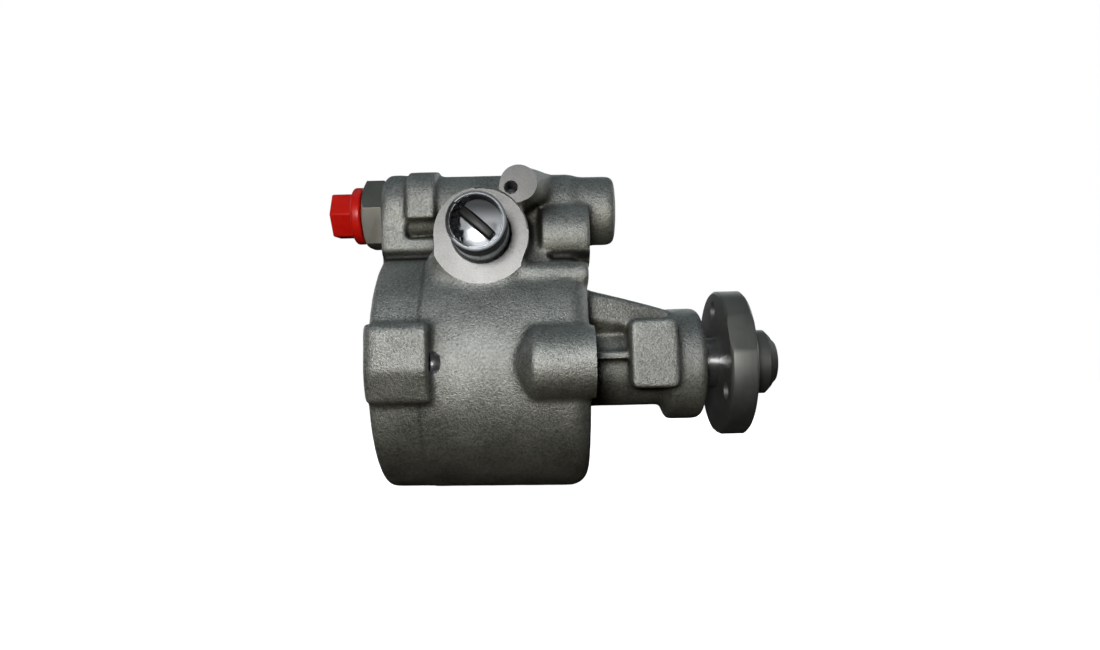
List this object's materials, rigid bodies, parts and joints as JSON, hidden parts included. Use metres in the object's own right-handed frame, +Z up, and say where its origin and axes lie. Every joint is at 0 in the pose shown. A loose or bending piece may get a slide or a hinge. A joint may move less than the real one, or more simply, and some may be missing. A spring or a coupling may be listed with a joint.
{
  "type": "power steering pump",
  "caption": "Vane-type hydraulic power steering pump: cast housing with a long snout, pressed pulley flange, inlet stub, valve barrel and a capped outlet.",
  "frame": {"origin": "on the shaft axis, in the plane of the machined front boss faces", "axes": "+X along the shaft towards the pulley flange, +Z up as in the picture, -Y towards the inlet side"},
  "size_m": [0.1681, 0.1084, 0.1219],
  "materials": {
    "cast_housing": "blasted casting",
    "cover_steel": "phosphated steel",
    "ground_steel": "ground steel",
    "flange_steel": "satin turned steel",
    "fitting_steel": "plated steel",
    "zinc_tube": "bright zinc plate",
    "plug_foil": "silver-grey gloss",
    "red_cap": "gloss",
    "black_plastic": "matte",
    "black_rubber": "matte",
    "bushing_bronze": "sintered"
  },
  "bodies": {
    "housing": {"pump_housing": "cast_housing", "end_cover": "cover_steel", "end_cover_retaining_ring": "ground_steel", "end_cover_o_ring": "black_rubber", "pressure_plate_spring": "ground_steel", "pressure_plate": "ground_steel", "pressure_plate_o_ring": "black_rubber", "pump_ring": "ground_steel", "thrust_plate": "ground_steel", "dowel_pins": "ground_steel", "shaft_bushing": "bushing_bronze", "shaft_seal": "black_rubber", "outlet_fitting": "fitting_steel", "outlet_fitting_o_ring": "black_rubber", "outlet_cap": "red_cap", "flow_control_spring": "ground_steel", "inlet_tube": "zinc_tube", "inlet_plug": "plug_foil", "inlet_plug_bar": "black_plastic"},
    "rotating_group": {"drive_shaft": "ground_steel", "drive_flange": "flange_steel", "rotor": "ground_steel", "rotor_retaining_ring": "ground_steel"},
    "valve_spool": {"flow_control_valve": "ground_steel", "relief_plug": "ground_steel", "relief_spring": "ground_steel"},
    "relief_poppet": {"relief_ball": "ground_steel", "relief_ball_guide": "ground_steel"},
    "vane_1": {"vane_1": "ground_steel"},
    "vane_2": {"vane_2": "ground_steel"},
    "vane_3": {"vane_3": "ground_steel"},
    "vane_4": {"vane_4": "ground_steel"},
    "vane_5": {"vane_5": "ground_steel"},
    "vane_6": {"vane_6": "ground_steel"},
    "vane_7": {"vane_7": "ground_steel"},
    "vane_8": {"vane_8": "ground_steel"},
    "vane_9": {"vane_9": "ground_steel"},
    "vane_10": {"vane_10": "ground_steel"}
  },
  "joints": [
    {"name": "shaft_spin", "type": "hinge", "parent": "housing", "child": "rotating_group", "pos_m": [0, 0, 0], "axis": [1, 0, 0], "continuous": true},
    {"name": "vane_1_slide", "type": "slide", "parent": "rotating_group", "child": "vane_1", "axis": [0, 0.5878, -0.809], "range_m": [-0.0012, 0]},
    {"name": "vane_2_slide", "type": "slide", "parent": "rotating_group", "child": "vane_2", "axis": [0, 0.9511, -0.309], "range_m": [-0.0012, 0]},
    {"name": "vane_3_slide", "type": "slide", "parent": "rotating_group", "child": "vane_3", "axis": [0, 0.9511, 0.309], "range_m": [-0.0012, 0]},
    {"name": "vane_4_slide", "type": "slide", "parent": "rotating_group", "child": "vane_4", "axis": [0, 0.5878, 0.809], "range_m": [-0.0012, 0]},
    {"name": "vane_5_slide", "type": "slide", "parent": "rotating_group", "child": "vane_5", "axis": [0, 0, 1], "range_m": [-0.0012, 0]},
    {"name": "vane_6_slide", "type": "slide", "parent": "rotating_group", "child": "vane_6", "axis": [0, -0.5878, 0.809], "range_m": [-0.0012, 0]},
    {"name": "vane_7_slide", "type": "slide", "parent": "rotating_group", "child": "vane_7", "axis": [0, -0.9511, 0.309], "range_m": [-0.0012, 0]},
    {"name": "vane_8_slide", "type": "slide", "parent": "rotating_group", "child": "vane_8", "axis": [0, -0.9511, -0.309], "range_m": [-0.0012, 0]},
    {"name": "vane_9_slide", "type": "slide", "parent": "rotating_group", "child": "vane_9", "axis": [0, -0.5878, -0.809], "range_m": [-0.0012, 0]},
    {"name": "vane_10_slide", "type": "slide", "parent": "rotating_group", "child": "vane_10", "axis": [0, 0, -1], "range_m": [-0.0012, 0]},
    {"name": "spool_slide", "type": "slide", "parent": "housing", "child": "valve_spool", "axis": [1, 0, 0], "range_m": [0, 0.007], "stiffness_N_per_m": 6000, "springref_m": -0.006, "deforming": ["flow_control_spring"]},
    {"name": "relief_slide", "type": "slide", "parent": "valve_spool", "child": "relief_poppet", "axis": [-1, 0, 0], "range_m": [0, 0.001], "stiffness_N_per_m": 8000, "springref_m": -0.004, "deforming": ["relief_spring"]}
  ]
}
